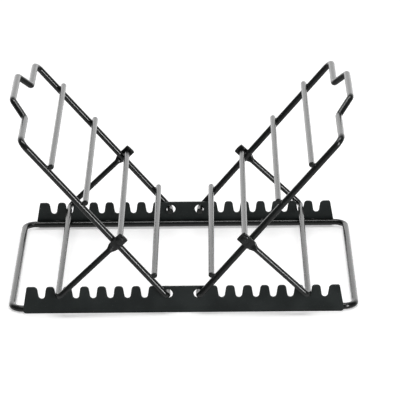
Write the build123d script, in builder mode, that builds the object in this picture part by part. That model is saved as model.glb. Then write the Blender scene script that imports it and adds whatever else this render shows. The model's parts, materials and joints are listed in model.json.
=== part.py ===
# Adjustable folding roasting rack in coated steel wire and sheet, millimetres.
# +X runs along the base, +Y from the front rack strip to the back one, +Z up.
# The origin is at the bottom centre, on the surface that the rack stands on.
import os
from math import asin, cos, degrees, radians, sin

from build123d import *

os.makedirs("parts", exist_ok=True)

# Wire stock: heavier for the base loop and the wing frames, lighter for the rods and props
frame_wire_radius = 2.8
rod_wire_radius = 2.5
weld_sink = 0.3
end_rounding = 0.6

# Base loop: one closed wire that stands on the table at the front and sits a little higher at the back
loop_length = 300.0
loop_corner_radius = 10.0
loop_back_rise = 1.7

# Rack strips: notched sheet, welded to the outer faces of the loop's long sides
strip_thickness = 1.8
strip_mid_y = 100.0
strip_height = 24.2
strip_foot_length = 275.4
strip_top_length = 267.0
strip_foot_rounding = 3.0
strip_weld_sink = 0.03
tooth_rounding = 2.8
end_tooth_rounding = 3.6
strip_end_rounding = 1.8
strip_edge_rounding = 0.3

# Notches: seven on each half of a strip, round at the bottom and wider at the top
notch_count = 7
notch_pitch = 14.65
inner_notch_x = 32.85
notch_bottom_z = 13.4
notch_bottom_radius = 2.65
notch_top_radius = 4.6
prop_notch_number = 6

# Pivot holes for the wings, and the pins that rest against their lower outer edges
pivot_hole_x = 13.0
pivot_hole_z = 17.2
pivot_hole_radius = 4.1
pivot_x = 13.6
pivot_z = 16.6

# Wings: one bent wire each, with cross rods laid on its inner face
wing_angle = 49.4
wing_side_y = 104.6
wing_length = 184.8
handle_length = 201.3
handle_shoulder_y = 44.0
handle_half_width = 32.1
pivot_pin_inner_y = 94.0
pivot_bend_radius = 4.0
wing_corner_radius = 8.0
handle_bend_radius = 5.0
cross_rod_reach = {"upper": 152.3, "middle": 109.5, "lower": 22.1}
hinge_rod_reach = 65.9
cross_rod_half_length = 107.1

# Props: one bent wire each, with flattened ends hinged on the wing's hinge rod.
# The crossbar leans on the outer flank of its notch, a little above the notch's bottom.
prop_leg_y = 109.0
prop_seat_lift = 1.8
prop_seat_out = 0.33
prop_bend_radius = 5.0
eye_thickness = 2.0
eye_width = 9.4
eye_end_length = 5.9
eye_end_radius = 11.0
eye_shank_length = 9.0
eye_neck_length = 4.5
eye_hole_radius = 2.85
eye_corner_rounding = 1.2
peened_head_radius = 3.4
peened_head_gap = 0.4
peened_head_thickness = 1.2

# Places worked out from the driving dimensions
loop_side_x = loop_length / 2 - frame_wire_radius
loop_side_y = strip_mid_y - strip_thickness / 2 - frame_wire_radius + strip_weld_sink
loop_width = 2 * loop_side_y
loop_tilt = degrees(asin(loop_back_rise / loop_width))
notch_axis_z = notch_bottom_z + notch_bottom_radius
notch_x = [inner_notch_x + number * notch_pitch for number in range(notch_count)]
prop_seat_x = notch_x[prop_notch_number - 1] + prop_seat_out
prop_seat_z = notch_axis_z + prop_seat_lift
rod_height = frame_wire_radius + rod_wire_radius - weld_sink
peened_head_y = prop_leg_y + eye_thickness / 2 + peened_head_gap
sides = {"left": -1, "right": 1}


def wing_plane(side):
    """The wing's own plane: its X runs up the wing and its normal faces inwards."""
    tilt = radians(wing_angle)
    up_the_wing = Vector(side * cos(tilt), 0, sin(tilt))
    inwards = Vector(-side * sin(tilt), 0, cos(tilt))
    return Plane(origin=(side * pivot_x, 0, pivot_z), x_dir=up_the_wing, z_dir=inwards)


def rod_axis(side, reach):
    """Where a cross rod's axis crosses the middle plane, at this reach up the wing."""
    return wing_plane(side).from_local_coords(Vector(reach, 0, rod_height))


def prop_plane(side):
    """The prop's own plane: its X runs down the legs from the hinge rod's axis."""
    hinge = rod_axis(side, hinge_rod_reach)
    down_the_leg = Vector(side * prop_seat_x, 0, prop_seat_z) - hinge
    across = Vector(0, -side, 0)
    return Plane(origin=hinge, x_dir=down_the_leg, z_dir=down_the_leg.cross(across))


def across_leg(eye_plane, distance):
    """The plane across a prop's leg, at this distance from the hinge rod's axis."""
    middle = eye_plane.from_local_coords(Vector(distance, 0, 0))
    return Plane(origin=middle, x_dir=eye_plane.y_dir, z_dir=eye_plane.x_dir)


def section_at_start(path):
    """The plane of a wire's round section, at the start of its path."""
    return Plane(origin=path @ 0, z_dir=path % 0)


# Base loop
with BuildPart() as base_loop:
    loop_plane = Plane(origin=(0, -loop_side_y, frame_wire_radius)).rotated((loop_tilt, 0, 0))
    with BuildLine(loop_plane) as loop_path:
        FilletPolyline(
            (-loop_side_x, 0),
            (loop_side_x, 0),
            (loop_side_x, loop_width),
            (-loop_side_x, loop_width),
            radius=loop_corner_radius,
            close=True,
        )
    with BuildSketch(section_at_start(loop_path.line)):
        Circle(frame_wire_radius)
    sweep()
base_loop.part.label = "base_loop"
export_step(base_loop.part, "parts/base_loop.step")

# Rack strips, front and back
with BuildSketch() as notch:
    with Locations((0, notch_axis_z)):
        Circle(notch_bottom_radius)
    with Locations((0, strip_height + notch_top_radius)):
        Circle(notch_top_radius)
    make_hull()

with BuildSketch() as strip_outline:
    with BuildLine():
        Polyline(
            (-strip_foot_length / 2, 0),
            (strip_foot_length / 2, 0),
            (strip_top_length / 2, strip_height),
            (-strip_top_length / 2, strip_height),
            close=True,
        )
    make_face()
    fillet(strip_outline.vertices().group_by(Axis.Y)[0], strip_foot_rounding)
    fillet(strip_outline.vertices().group_by(Axis.Y)[-1], strip_end_rounding)
    with Locations(*[(side * x, 0) for side in sides.values() for x in notch_x]):
        add(notch.sketch, mode=Mode.SUBTRACT)
    tops = strip_outline.vertices().group_by(Axis.Y)[-1].sort_by(Axis.X)
    fillet([tops[1], tops[-2]], end_tooth_rounding)
    tops = strip_outline.vertices().group_by(Axis.Y)[-1].sort_by(Axis.X)
    fillet(tops[2:-2], tooth_rounding)
    with Locations((-pivot_hole_x, pivot_hole_z), (pivot_hole_x, pivot_hole_z)):
        Circle(pivot_hole_radius, mode=Mode.SUBTRACT)

for name, side_y in {"front": -strip_mid_y, "back": strip_mid_y}.items():
    with BuildPart() as rack_strip:
        with BuildSketch(Plane.XZ.offset(-side_y)):
            add(strip_outline.sketch)
        extrude(amount=strip_thickness / 2, both=True)
        fillet(rack_strip.faces().filter_by(Axis.Y).edges(), strip_edge_rounding)
    rack_strip.part.label = f"{name}_rack_strip"
    export_step(rack_strip.part, f"parts/{name}_rack_strip.step")

# Wings, left and right
for name, side in sides.items():
    with BuildPart() as wing_frame:
        with BuildLine(wing_plane(side)) as frame_path:
            FilletPolyline(
                (0, -pivot_pin_inner_y),
                (0, -wing_side_y),
                (wing_length, -wing_side_y),
                (wing_length, -handle_shoulder_y),
                (handle_length, -handle_half_width),
                (handle_length, handle_half_width),
                (wing_length, handle_shoulder_y),
                (wing_length, wing_side_y),
                (0, wing_side_y),
                (0, pivot_pin_inner_y),
                radius=[
                    pivot_bend_radius,
                    wing_corner_radius,
                    handle_bend_radius,
                    handle_bend_radius,
                    handle_bend_radius,
                    handle_bend_radius,
                    wing_corner_radius,
                    pivot_bend_radius,
                ],
            )
        with BuildSketch(section_at_start(frame_path.line)):
            Circle(frame_wire_radius)
        sweep()
        pin_ends = wing_frame.faces().filter_by(GeomType.PLANE)
        fillet(pin_ends.edges(), end_rounding)
    wing_frame.part.label = f"{name}_wing_frame"
    export_step(wing_frame.part, f"parts/{name}_wing_frame.step")

    for rod_name, reach in cross_rod_reach.items():
        axis_point = rod_axis(side, reach)
        with BuildPart() as cross_rod:
            with BuildSketch(Plane.XZ):
                with Locations((axis_point.X, axis_point.Z)):
                    Circle(rod_wire_radius)
            extrude(amount=cross_rod_half_length, both=True)
            fillet(cross_rod.faces().filter_by(GeomType.PLANE).edges(), end_rounding)
        cross_rod.part.label = f"{name}_{rod_name}_cross_rod"
        export_step(cross_rod.part, f"parts/{name}_{rod_name}_cross_rod.step")

    hinge = rod_axis(side, hinge_rod_reach)
    with BuildPart() as hinge_rod:
        with BuildSketch(Plane.XZ):
            with Locations((hinge.X, hinge.Z)):
                Circle(rod_wire_radius)
        extrude(amount=peened_head_y)
        with BuildSketch(Plane.XZ.offset(peened_head_y)):
            with Locations((hinge.X, hinge.Z)):
                Circle(peened_head_radius)
        extrude(amount=peened_head_thickness)
        fillet(hinge_rod.faces().sort_by(Axis.Y)[0].edges(), end_rounding)
        mirror(about=Plane.XZ)
    hinge_rod.part.label = f"{name}_hinge_rod"
    export_step(hinge_rod.part, f"parts/{name}_hinge_rod.step")

    # Prop: the legs run outside the wing, and its crossbar lies in a pair of notches
    leg_length = (Vector(side * prop_seat_x, 0, prop_seat_z) - hinge).length
    with BuildPart() as prop:
        with BuildLine(prop_plane(side)) as prop_path:
            FilletPolyline(
                (eye_shank_length + eye_neck_length, -prop_leg_y),
                (leg_length, -prop_leg_y),
                (leg_length, prop_leg_y),
                (eye_shank_length + eye_neck_length, prop_leg_y),
                radius=prop_bend_radius,
            )
        with BuildSketch(section_at_start(prop_path.line)):
            Circle(rod_wire_radius)
        sweep()
        for leg_y in (-prop_leg_y, prop_leg_y):
            eye_plane = Plane(
                origin=(hinge.X, leg_y, hinge.Z),
                x_dir=prop_plane(side).x_dir,
                z_dir=(0, 1, 0),
            )
            with BuildSketch(eye_plane) as eye_outline:
                with Locations(((eye_shank_length - eye_end_length) / 2, 0)):
                    Rectangle(eye_shank_length + eye_end_length, eye_width)
                with Locations((eye_end_radius - eye_end_length, 0)):
                    Circle(eye_end_radius, mode=Mode.INTERSECT)
                fillet(eye_outline.vertices().sort_by(Axis.X)[:2], eye_corner_rounding)
            extrude(amount=eye_thickness / 2, both=True)
            with BuildSketch(across_leg(eye_plane, eye_shank_length)):
                Rectangle(eye_width, eye_thickness)
            with BuildSketch(across_leg(eye_plane, eye_shank_length + eye_neck_length)):
                Circle(rod_wire_radius)
            loft()
            with BuildSketch(eye_plane):
                Circle(eye_hole_radius)
            extrude(amount=eye_thickness, both=True, mode=Mode.SUBTRACT)
    prop.part.label = f"{name}_prop"
    export_step(prop.part, f"parts/{name}_prop.step")
    print(name, "prop leg length", round(leg_length, 2))
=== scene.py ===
# Folding roasting rack in black non-stick coated wire and sheet, metres, in the CAD part's frame.
import json
from math import atan2, cos, radians, sin, tan

import bmesh
import bpy
from mathutils import Matrix, Vector, noise as mathNoise


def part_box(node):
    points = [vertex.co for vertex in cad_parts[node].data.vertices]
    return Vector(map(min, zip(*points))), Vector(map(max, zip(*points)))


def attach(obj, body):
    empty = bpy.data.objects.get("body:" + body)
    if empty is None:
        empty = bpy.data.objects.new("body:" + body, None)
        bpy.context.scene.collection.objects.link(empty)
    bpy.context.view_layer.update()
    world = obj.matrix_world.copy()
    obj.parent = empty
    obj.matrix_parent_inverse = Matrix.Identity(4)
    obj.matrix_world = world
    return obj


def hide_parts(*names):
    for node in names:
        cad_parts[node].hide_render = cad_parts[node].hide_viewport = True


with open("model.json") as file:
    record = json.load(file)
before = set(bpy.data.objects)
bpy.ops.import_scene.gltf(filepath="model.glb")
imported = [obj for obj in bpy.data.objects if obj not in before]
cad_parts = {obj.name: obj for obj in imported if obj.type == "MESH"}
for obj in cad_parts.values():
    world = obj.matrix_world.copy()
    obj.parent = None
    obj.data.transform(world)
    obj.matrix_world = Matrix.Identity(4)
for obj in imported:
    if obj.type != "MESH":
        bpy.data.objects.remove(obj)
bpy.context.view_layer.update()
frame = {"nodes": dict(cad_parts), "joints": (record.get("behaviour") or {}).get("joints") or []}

mm = 0.001
sides = {"left": -1, "right": 1}
joints = {joint["name"]: joint for joint in frame["joints"]}

stock = {
    "frameRadius": 2.8 * mm,  # base loop and wing frames
    "rodRadius": 2.5 * mm,  # cross rods, hinge rods and props
    "wireSides": 40,
    "bendSteps": 12,
    "hold": 0.8 * mm,  # a ring this near to each end of a straight run keeps its shading even
    "endRounding": 0.7 * mm,  # sheared and tumbled rod ends
    "endSegments": 4,
    "mergeWithin": 0.5e-6,
}


# materials: Signal wraps one output socket, so shader maths reads as plain expressions
class Signal:
    def __init__(self, tree, socket):
        self.tree = tree
        self.socket = socket

    def node(self, kind, settings=None, inputs=None, output=0):
        made = self.tree.nodes.new(kind)
        for name, value in (settings or {}).items():
            setattr(made, name, value)
        for name, value in (inputs or {}).items():
            if isinstance(value, Signal):
                self.tree.links.new(value.socket, made.inputs[name])
            else:
                made.inputs[name].default_value = value
        return Signal(self.tree, made.outputs[output])

    def maths(self, operation, first, second):
        return self.node("ShaderNodeMath", {"operation": operation}, {0: first, 1: second})

    def __add__(self, other):
        return self.maths("ADD", self, other)

    def __radd__(self, other):
        return self.maths("ADD", other, self)

    def __sub__(self, other):
        return self.maths("SUBTRACT", self, other)

    def __rsub__(self, other):
        return self.maths("SUBTRACT", other, self)

    def __mul__(self, other):
        return self.maths("MULTIPLY", self, other)

    def __rmul__(self, other):
        return self.maths("MULTIPLY", other, self)

    def band(self, low, high, toLow=0.0, toHigh=1.0):
        return self.node(
            "ShaderNodeMapRange",
            {"interpolation_type": "SMOOTHSTEP"},
            {"Value": self, "From Min": low, "From Max": high, "To Min": toLow, "To Max": toHigh},
        )


def newFinish(name):
    finish = bpy.data.materials.new(name)
    finish.use_nodes = True
    tree = finish.node_tree
    place = tree.nodes.new("ShaderNodeTexCoord")
    return finish, tree.nodes["Principled BSDF"], Signal(tree, place.outputs["Object"])


def noise(place, scale, detail):
    inputs = {"Vector": place, "Scale": scale, "Detail": detail}
    return place.node("ShaderNodeTexNoise", None, inputs)


def mixColours(factor, first, second):
    settings = {"data_type": "RGBA"}
    inputs = {"Factor": factor, 6: first, 7: second}
    return factor.node("ShaderNodeMix", settings, inputs, output=2)


def coatFinish(look):
    # sprayed non-stick coating: faint clouds where it lies thinner, orange peel, grain and rare flecks
    finish, shader, place = newFinish(look["name"])
    cloud = noise(place, look["cloudScale"], look["cloudDetail"]).band(*look["cloudEdges"])
    peel = noise(place, look["peelScale"], look["peelDetail"])
    grain = noise(place, look["grainScale"], look["grainDetail"])
    fleck = noise(place, look["fleckScale"], look["fleckDetail"]).band(*look["fleckEdges"])
    colour = mixColours(cloud, look["deep"], look["thin"])
    colour = mixColours(fleck * look["fleckShare"], colour, look["fleck"])
    tree = finish.node_tree
    tree.links.new(colour.socket, shader.inputs["Base Color"])
    gloss = look["roughness"] + look["roughnessSpread"] * cloud + look["grainGloss"] * grain
    tree.links.new(gloss.socket, shader.inputs["Roughness"])
    height = peel * look["peelDepth"] + grain * look["grainDepth"]
    bump = height.node(
        "ShaderNodeBump", None, {"Height": height, "Strength": 1.0, "Distance": look["bumpReach"]}
    )
    tree.links.new(bump.socket, shader.inputs["Normal"])
    shader.inputs["IOR"].default_value = look["ior"]
    return finish


wireLook = {
    "name": "wireCoating",
    "deep": (0.0036, 0.0044, 0.0042, 1),
    "thin": (0.0062, 0.0074, 0.0071, 1),
    "fleck": (0.026, 0.029, 0.028, 1),
    "fleckShare": 0.4,
    "roughness": 0.20,
    "roughnessSpread": 0.04,
    "grainGloss": 0.03,
    "ior": 1.55,
    "cloudScale": 60.0,
    "peelScale": 700.0,
    "grainScale": 3800.0,
    "fleckScale": 1500.0,
    "cloudDetail": 3.0,
    "peelDetail": 2.0,
    "grainDetail": 1.0,
    "fleckDetail": 0.0,
    "cloudEdges": (0.35, 0.68),
    "fleckEdges": (0.72, 0.80),
    "peelDepth": 0.006,  # depths are shares of bumpReach
    "grainDepth": 0.002,
    "bumpReach": 1.0 * mm,
}
sheetLook = dict(
    wireLook,
    name="sheetCoating",
    deep=(0.0100, 0.0132, 0.0130, 1),
    thin=(0.0165, 0.0210, 0.0205, 1),
    fleck=(0.046, 0.052, 0.051, 1),
    fleckShare=0.6,
    ior=1.33,
    roughness=0.34,
    roughnessSpread=0.10,
    grainGloss=0.05,
    cloudScale=38.0,
    fleckScale=1100.0,
    peelDepth=0.020,
    grainDepth=0.008,
)
wireCoating = coatFinish(wireLook)
sheetCoating = coatFinish(sheetLook)
print("materials made")


# wire and rod, drawn and bent one ring at a time
def faceAlong(place, heading):
    turn = Vector((0, 0, 1)).rotation_difference(heading)
    return Matrix.Translation(place) @ turn.to_matrix().to_4x4()


def startRing(bm, place, heading, radius):
    made = bmesh.ops.create_circle(
        bm, cap_ends=False, radius=radius, segments=stock["wireSides"], matrix=faceAlong(place, heading)
    )
    return list({edge for vert in made["verts"] for edge in vert.link_edges})


def ringVerts(ring):
    return list({vert for edge in ring for vert in edge.verts})


def squeezeRing(bm, ring, factors, axes=None):
    # scales a ring about its own middle, along the given axes
    verts = ringVerts(ring)
    middle = sum((vert.co for vert in verts), Vector()) / len(verts)
    turn = Matrix(axes or ((1, 0, 0), (0, 1, 0), (0, 0, 1))).to_4x4()
    space = turn @ Matrix.Translation(-middle)
    bmesh.ops.transform(bm, verts=verts, matrix=space.inverted() @ Matrix.Diagonal((*factors, 1)) @ space)


def pushRing(bm, ring, shift):
    made = bmesh.ops.extrude_edge_only(bm, edges=ring)["geom"]
    verts = {item for item in made if isinstance(item, bmesh.types.BMVert)}
    bmesh.ops.translate(bm, verts=list(verts), vec=shift)
    edges = [item for item in made if isinstance(item, bmesh.types.BMEdge)]
    return [edge for edge in edges if all(vert in verts for vert in edge.verts)]


def pushStraight(bm, ring, shift):
    # a straight run, with a holding ring near each end
    hold = shift.normalized() * min(stock["hold"], shift.length / 4)
    for part in (hold, shift - hold * 2, hold):
        ring = pushRing(bm, ring, part)
    return ring


def turnRing(bm, ring, centre, axis, angle, steps):
    made = bmesh.ops.spin(bm, geom=ring, cent=centre, axis=axis, angle=angle, steps=steps)
    return [item for item in made["geom_last"] if isinstance(item, bmesh.types.BMEdge)]


def runWire(bm, ring, corners, bends):
    # straight runs between corners, with a round bend at each inner corner
    here = corners[0]
    heading = (corners[1] - corners[0]).normalized()
    for corner, following, bend in zip(corners[1:-1], corners[2:], bends):
        turned = (following - corner).normalized()
        angle = heading.angle(turned)
        setback = bend * tan(angle / 2)
        bendStart = corner - heading * setback
        axis = heading.cross(turned).normalized()
        ring = pushStraight(bm, ring, bendStart - here)
        centre = bendStart + axis.cross(heading) * bend
        ring = turnRing(bm, ring, centre, axis, angle, stock["bendSteps"])
        here = corner + turned * setback
        heading = turned
    return pushStraight(bm, ring, corners[-1] - here)


def capRing(bm, ring, rounding):
    bmesh.ops.holes_fill(bm, edges=ring, sides=0)
    bmesh.ops.bevel(
        bm, geom=ring, offset=rounding, offset_type="OFFSET", segments=stock["endSegments"],
        profile=0.5, affect="EDGES", material=-1,
    )


def finishPiece(name, bm, finish, body, nodes=()):
    bmesh.ops.remove_doubles(bm, verts=bm.verts, dist=stock["mergeWithin"])
    bmesh.ops.recalc_face_normals(bm, faces=bm.faces)
    mesh = bpy.data.meshes.new(name)
    bm.to_mesh(mesh)
    bm.free()
    mesh.materials.append(finish)
    piece = bpy.data.objects.new(name, mesh)
    bpy.context.scene.collection.objects.link(piece)
    mesh.polygons.foreach_set("use_smooth", [True] * len(mesh.polygons))
    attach(piece, body)
    if nodes:
        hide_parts(*nodes)
    return piece


# base loop: one closed wire, flat on the table at the front and welded a little higher at the back
loop = {"cornerRadius": 10 * mm}


def loopSides():
    # middles of the loop's front and back wires, and how far they reach to the right
    low, high = (Vector(corner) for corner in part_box("base_loop"))
    r = stock["frameRadius"]
    return Vector((0, low.y + r, low.z + r)), Vector((0, high.y - r, high.z - r)), Vector((high.x - r, 0, 0))


def makeBaseLoop():
    front, back, right = loopSides()
    corners = [back, back - right, front - right, front + right, back + right, back]
    bm = bmesh.new()
    ring = startRing(bm, back, Vector((-1, 0, 0)), stock["frameRadius"])
    runWire(bm, ring, corners, [loop["cornerRadius"]] * 4)
    finishPiece("base_loop_wire", bm, wireCoating, "base", ["base_loop"])


makeBaseLoop()
print("base loop made")


# rack strips: the CAD sheets keep their shape and get their coating
for stripName in ("front_rack_strip", "back_rack_strip"):
    for place in frame["nodes"][stripName].material_slots:
        place.material = sheetCoating
print("rack strips coated")


# wings: a bent wire frame, cross rods on its inner face, and a hinge rod with peened ends
wing = {
    "frameLength": 184.8 * mm,
    "handleLength": 201.3 * mm,
    "shoulderY": 44 * mm,
    "handleHalfWidth": 32.1 * mm,
    "pinInnerY": 94 * mm,
    "pinBend": 4 * mm,
    "cornerBend": 8 * mm,
    "handleBend": 5 * mm,
    "hingeRodReach": 65.9 * mm,
    "rodHeight": 5.0 * mm,
}
peenedHead = {
    "radius": 3.4 * mm,
    "thickness": 1.2 * mm,
    # depth and width along the head, as shares of its thickness and radius
    "steps": (
        (0.0, 0.80), (0.06, 0.93), (0.20, 1.0), (0.45, 1.0),
        (0.68, 0.93), (0.86, 0.76), (0.96, 0.50), (1.0, 0.20),
    ),
}


def wingSpace(side):
    # the wing's own axes: x up the wing, y along the rack's y, z inwards off its face
    pivot = Vector(joints[f"{side}_wing_hinge"]["pos_m"])
    rodAxis = Vector(joints[f"{side}_prop_hinge"]["pos_m"])
    reach = rodAxis - pivot
    lean = atan2(reach.z, abs(reach.x)) - atan2(wing["rodHeight"], wing["hingeRodReach"])
    out = sides[side]
    up = Vector((out * cos(lean), 0, sin(lean)))
    inwards = Vector((-out * sin(lean), 0, cos(lean)))
    axes = Matrix((up, Vector((0, 1, 0)), inwards)).transposed()
    return Matrix.Translation(pivot) @ axes.to_4x4()


def makeWingFrame(side):
    node = f"{side}_wing_frame"
    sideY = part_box(node)[1][1] - stock["frameRadius"]
    half = [
        (0, wing["pinInnerY"]),
        (0, sideY),
        (wing["frameLength"], sideY),
        (wing["frameLength"], wing["shoulderY"]),
        (wing["handleLength"], wing["handleHalfWidth"]),
    ]
    route = half + [(x, -y) for x, y in reversed(half)]
    corners = [wingSpace(side) @ Vector((x, y, 0)) for x, y in route]
    halfBends = [wing["pinBend"], wing["cornerBend"], wing["handleBend"], wing["handleBend"]]
    bm = bmesh.new()
    ring = startRing(bm, corners[0], (corners[1] - corners[0]).normalized(), stock["frameRadius"])
    endRing = runWire(bm, ring, corners, halfBends + halfBends[::-1])
    for edges in (ring, endRing):
        capRing(bm, edges, stock["endRounding"])
    finishPiece(f"{side}_wing_wire", bm, wireCoating, f"{side}_wing", [node])


def rodLine(node):
    low, high = (Vector(corner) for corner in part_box(node))
    middle = (low + high) / 2
    return middle, low.y, high.y


def makeCrossRod(side, node):
    middle, frontY, backY = rodLine(node)
    start = Vector((middle.x, frontY, middle.z))
    bm = bmesh.new()
    ring = startRing(bm, start, Vector((0, 1, 0)), stock["rodRadius"])
    endRing = pushStraight(bm, ring, Vector((0, backY - frontY, 0)))
    for edges in (ring, endRing):
        capRing(bm, edges, stock["endRounding"])
    finishPiece(f"{node}_wire", bm, wireCoating, f"{side}_wing", [node])


def makeHingeRod(side):
    node = f"{side}_hinge_rod"
    middle, frontY, backY = rodLine(node)
    r, thickness = stock["rodRadius"], peenedHead["thickness"]
    bm = bmesh.new()
    for out, endY in ((-1, frontY), (1, backY)):
        neckY = endY - out * thickness
        ring = startRing(bm, Vector((middle.x, 0, middle.z)), Vector((0, out, 0)), r)
        ring = pushStraight(bm, ring, Vector((0, neckY, 0)))
        now, grown = 0.0, r
        for depth, width in peenedHead["steps"]:
            ring = pushRing(bm, ring, Vector((0, out * (depth - now) * thickness, 0)))
            squeezeRing(bm, ring, (width * peenedHead["radius"] / grown,) * 3)
            now, grown = depth, width * peenedHead["radius"]
        bmesh.ops.holes_fill(bm, edges=ring, sides=0)
    finishPiece(f"{side}_hinge_rod_wire", bm, wireCoating, f"{side}_wing", [node])


for side in sides:
    makeWingFrame(side)
    for level in ("upper", "middle", "lower"):
        makeCrossRod(side, f"{side}_{level}_cross_rod")
    makeHingeRod(side)
print("wings made")


# props: one bent wire, forged flat at both ends and pierced for the hinge rod
prop = {
    "legY": 109 * mm,
    "bend": 5 * mm,
    "seatX": 106.43 * mm,  # the crossbar stands against the outer flank of its notch
    "seatZ": 17.85 * mm,
    "eyeEnd": 5.9 * mm,
    "endBow": 1.0 * mm,
    "tipShare": 0.9,
    "endCorner": 1.0 * mm,
    "eyeWidth": 9.4 * mm,
    "eyeThickness": 2.0 * mm,
    "holeRadius": 2.85 * mm,
    "edgeRounding": 0.5 * mm,
    "rimAngle": radians(60),
    "rimSegments": 4,
    "cornerSegments": 7,
    "nearby": 1e-6,
    "longEdge": 3.0 * mm,
    "longCuts": 5,
    "shank": 7.8 * mm,
    "shoulderOverlap": 1.8 * mm,
    "shoulderCorner": 3.4 * mm,
    "neck": 6.0 * mm,
    "neckSteps": 8,
    "neckWidth": 8.9 * mm,
    "neckThickness": 1.94 * mm,
}


def addTo(bm, other):
    mesh = bpy.data.meshes.new("part")
    other.to_mesh(mesh)
    other.free()
    bm.from_mesh(mesh)
    bpy.data.meshes.remove(mesh)


def roundCorners(plate, corners, offset):
    # rounds the outline's corners that stand at these places
    chosen = []
    for place in corners:
        chosen += [vert for vert in plate.verts if (vert.co.xy - Vector(place)).length < prop["nearby"]]
    bmesh.ops.bevel(
        plate, geom=chosen, offset=offset, offset_type="OFFSET", segments=prop["cornerSegments"],
        profile=0.5, affect="VERTICES", material=-1,
    )


def makeEye(bm, space):
    # forged plate: a slightly bowed end, round shoulders, and a hole pierced for the hinge rod
    half, under = prop["eyeWidth"] / 2, prop["eyeThickness"] / 2
    endX, shoulderX = -prop["eyeEnd"], prop["shank"] + prop["shoulderOverlap"]
    tip = (endX, 0)
    ends = [(endX + prop["endBow"], -half), (endX + prop["endBow"], half)]
    shoulders = [(shoulderX, half), (shoulderX, -half)]
    plate = bmesh.new()
    plate.faces.new([plate.verts.new((x, y, -under)) for x, y in (ends[0], tip, ends[1], *shoulders)])
    roundCorners(plate, [tip], half * prop["tipShare"])
    roundCorners(plate, ends, prop["endCorner"])
    roundCorners(plate, shoulders, prop["shoulderCorner"])
    bmesh.ops.delete(plate, geom=list(plate.faces), context="FACES_ONLY")
    long = [edge for edge in plate.edges if edge.calc_length() > prop["longEdge"]]
    bmesh.ops.subdivide_edges(plate, edges=long, cuts=prop["longCuts"])
    outer = list(plate.edges)
    made = bmesh.ops.create_circle(
        plate, cap_ends=False, radius=prop["holeRadius"], segments=len(outer),
        matrix=Matrix.Translation((0, 0, -under)),
    )
    inner = list({edge for vert in made["verts"] for edge in vert.link_edges})
    bmesh.ops.bridge_loops(plate, edges=outer + inner)
    made = bmesh.ops.extrude_face_region(plate, geom=list(plate.faces))
    raised = [item for item in made["geom"] if isinstance(item, bmesh.types.BMVert)]
    bmesh.ops.translate(plate, verts=raised, vec=(0, 0, prop["eyeThickness"]))
    bmesh.ops.recalc_face_normals(plate, faces=plate.faces)
    rims = [edge for edge in plate.edges if edge.calc_face_angle(0) > prop["rimAngle"]]
    bmesh.ops.bevel(
        plate, geom=rims, offset=prop["edgeRounding"], offset_type="OFFSET", segments=prop["rimSegments"],
        profile=0.5, affect="EDGES", material=-1,
    )
    bmesh.ops.transform(plate, matrix=space, verts=plate.verts)
    addTo(bm, plate)


def forgedShare(share, amount):
    # how far a size has gone from round, 1, to forged, amount, at this share of the neck
    return 1 + (amount - 1) * share * share * (3 - 2 * share)


def forgeNeck(bm, ring, towards, axes):
    # from the round leg to a flat, wide section that runs into the plate
    wireWidth = 2 * stock["rodRadius"]
    flat = (1, prop["neckWidth"] / wireWidth, prop["neckThickness"] / wireWidth)
    steps = prop["neckSteps"]
    for step in range(steps):
        before, now = step / steps, (step + 1) / steps
        ring = pushRing(bm, ring, towards * (prop["neck"] / steps))
        scales = [forgedShare(now, amount) / forgedShare(before, amount) for amount in flat]
        squeezeRing(bm, ring, scales, axes)
    bmesh.ops.holes_fill(bm, edges=ring, sides=0)


def makeProp(side):
    hinge = Vector(joints[f"{side}_prop_hinge"]["pos_m"])
    seat = Vector((sides[side] * prop["seatX"], 0, prop["seatZ"]))
    down = (seat - hinge).normalized()
    thick = Vector((0, 1, 0))
    axes = (down, thick.cross(down), thick)
    front, back = -thick * prop["legY"], thick * prop["legY"]
    legTop = hinge + down * (prop["shank"] + prop["neck"])
    bm = bmesh.new()
    frontRing = startRing(bm, legTop + front, down, stock["rodRadius"])
    corners = [legTop + front, seat + front, seat + back, legTop + back]
    backRing = runWire(bm, frontRing, corners, [prop["bend"]] * 2)
    for ring in (frontRing, backRing):
        forgeNeck(bm, ring, -down, axes)
    for place in (hinge + front, hinge + back):
        makeEye(bm, Matrix.Translation(place) @ Matrix(axes).transposed().to_4x4())
    finishPiece(f"{side}_prop_wire", bm, wireCoating, f"{side}_support", [f"{side}_prop"])


for side in sides:
    makeProp(side)
print("props made")


# welds: a little flash squeezed out where two rods were pressed together
weld = {
    "across": 2.9 * mm,
    "thickness": 0.8 * mm,
    "roughness": 0.16,
    "lumpScale": 1.7,
    "lumpStep": 3.1,
    "subdivisions": 3,
    "baseSeed": 20,
    "stripLength": 3.4 * mm,
    "stripDepth": 0.75 * mm,
    "stripHeight": 1.3 * mm,
    "stripShares": (-0.86, -0.52, -0.18, 0.18, 0.52, 0.86),  # along each half of a strip
    "gap": 0.25 * mm,
    "lift": 0.45,  # above the wire's middle, as a share of its radius
}


def addFlash(bm, space, size, seed):
    made = bmesh.ops.create_icosphere(bm, subdivisions=weld["subdivisions"], radius=1.0)
    for vert in made["verts"]:
        lump = mathNoise.noise(vert.co * weld["lumpScale"] + Vector((seed * weld["lumpStep"], seed, 0)))
        vert.co *= 1 + lump * weld["roughness"]
    bmesh.ops.transform(bm, verts=made["verts"], matrix=space @ Matrix.Diagonal((*size, 1)))


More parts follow.
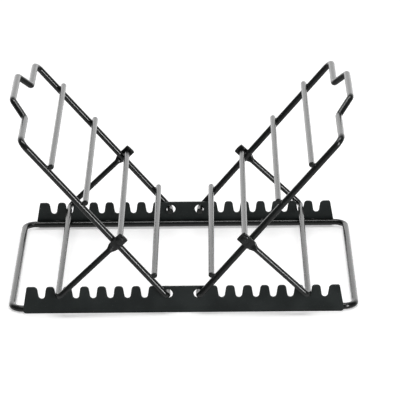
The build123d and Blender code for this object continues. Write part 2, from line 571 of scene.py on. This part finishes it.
def makeWingWelds(side):
    node = f"{side}_wing_frame"
    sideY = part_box(node)[1][1] - stock["frameRadius"]
    space = wingSpace(side)
    bm = bmesh.new()
    seed = 0
    for rod in ("upper_cross_rod", "middle_cross_rod", "hinge_rod", "lower_cross_rod"):
        middle = rodLine(f"{side}_{rod}")[0]
        reach = (space.inverted() @ middle).x
        for y in (-sideY, sideY):
            seed += 1
            place = space @ Matrix.Translation((reach, y, wing["rodHeight"] / 2))
            addFlash(bm, place, (weld["across"], weld["across"], weld["thickness"]), seed)
    finishPiece(f"{side}_wing_welds", bm, wireCoating, f"{side}_wing")


def makeBaseWelds():
    bm = bmesh.new()
    seed = weld["baseSeed"]
    low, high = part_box("back_rack_strip")
    stripFace, span = low[1], high[0]
    for out, wire in zip((-1, 1), loopSides()):
        for share in weld["stripShares"]:
            seed += 1
            height = wire.z + stock["frameRadius"] * weld["lift"]
            place = Vector((share * span, out * (stripFace - weld["gap"]), height))
            size = (weld["stripLength"], weld["stripDepth"], weld["stripHeight"])
            addFlash(bm, Matrix.Translation(place), size, seed)
    finishPiece("base_welds", bm, wireCoating, "base")


for side in sides:
    makeWingWelds(side)
makeBaseWelds()
print("welds made")


# studio: pale floor, a bright backdrop behind, dim air at the sides,
# one softbox above and one at the right
studio = {
    "floorSize": 9.0,
    "floorColour": (0.92, 0.92, 0.92, 1),
    "floorDrop": 0.2 * mm,
    "floorRoughness": 0.9,
    "floorSheen": 0.1,
    "floorGlow": 0.42,
    "backdrop": 1.8,
    "air": 0.10,
    "below": 0.50,
    "backdropEdges": (0.25, 0.85),  # how far round to the back the backdrop fades in
    "horizonEdges": (-0.40, -0.10),
}
softboxes = {
    "overheadSoftbox": {"place": (0, -0.22, 1.5), "size": (1.3, 0.32), "watts": 12},
    "rightSoftbox": {"place": (1.22, -1.8, 0.38), "size": (0.24, 0.9), "watts": 24},
}


def setFloor():
    bm = bmesh.new()
    bmesh.ops.create_grid(bm, x_segments=1, y_segments=1, size=studio["floorSize"] / 2)
    mesh = bpy.data.meshes.new("floor")
    bm.to_mesh(mesh)
    bm.free()
    floor = bpy.data.objects.new("floor", mesh)
    floor.location = (0, 0, -studio["floorDrop"])
    paper = bpy.data.materials.new("floorPaper")
    paper.use_nodes = True
    shader = paper.node_tree.nodes["Principled BSDF"]
    shader.inputs["Base Color"].default_value = studio["floorColour"]
    shader.inputs["Roughness"].default_value = studio["floorRoughness"]
    shader.inputs["Specular IOR Level"].default_value = studio["floorSheen"]
    shader.inputs["Emission Color"].default_value = (1, 1, 1, 1)
    shader.inputs["Emission Strength"].default_value = studio["floorGlow"]
    mesh.materials.append(paper)
    floor.visible_glossy = False  # the coating reflects the air around the rack, not the paper
    bpy.context.scene.collection.objects.link(floor)


def setAir():
    air = bpy.data.worlds.new("air")
    air.use_nodes = True
    tree = air.node_tree
    direction = Signal(tree, tree.nodes.new("ShaderNodeTexCoord").outputs["Generated"])
    towardsBack = direction.node("ShaderNodeSeparateXYZ", None, {0: direction}, output=1)
    height = direction.node("ShaderNodeSeparateXYZ", None, {0: direction}, output=2)
    level = towardsBack.band(*studio["backdropEdges"], studio["air"], studio["backdrop"])
    above = height.band(*studio["horizonEdges"])
    level = level * above + (1 - above) * studio["below"]
    background = tree.nodes["Background"]
    tree.links.new(level.socket, background.inputs["Strength"])
    background.inputs["Color"].default_value = (1, 1, 1, 1)
    bpy.context.scene.world = air


def setSoftbox(name, look):
    lamp = bpy.data.lights.new(name, "AREA")
    lamp.shape = "RECTANGLE"
    lamp.size, lamp.size_y = look["size"]
    lamp.energy = look["watts"]
    box = bpy.data.objects.new(name, lamp)
    box.location = look["place"]
    box.rotation_euler = (-Vector(look["place"])).to_track_quat("-Z", "Y").to_euler()
    bpy.context.scene.collection.objects.link(box)


# camera: a long lens far back, a little above the rack
view = {
    "aim": (14.54 * mm, 0, 64.02 * mm),
    "distance": 2388.7 * mm,
    "height": 20.95,
    "turn": 0.40,
    "roll": -0.65,
    "lens": 244.03,
    "sensor": 36,
    "clipEnd": 50,
}


def setCamera():
    turn, height = radians(view["turn"]), radians(view["height"])
    back = Vector((sin(turn) * cos(height), -cos(turn) * cos(height), sin(height)))
    camera = bpy.data.objects.new("camera", bpy.data.cameras.new("camera"))
    camera.data.lens = view["lens"]
    camera.data.sensor_width = view["sensor"]
    camera.data.clip_end = view["clipEnd"]
    place = Matrix.Translation(Vector(view["aim"]) + back * view["distance"])
    facing = (-back).to_track_quat("-Z", "Y").to_matrix().to_4x4()
    camera.matrix_world = place @ facing @ Matrix.Rotation(radians(view["roll"]), 4, "Z")
    bpy.context.scene.collection.objects.link(camera)
    bpy.context.scene.camera = camera


setFloor()
setAir()
for name, look in softboxes.items():
    setSoftbox(name, look)
setCamera()
bpy.context.scene.view_settings.view_transform = "Standard"
print("studio set")
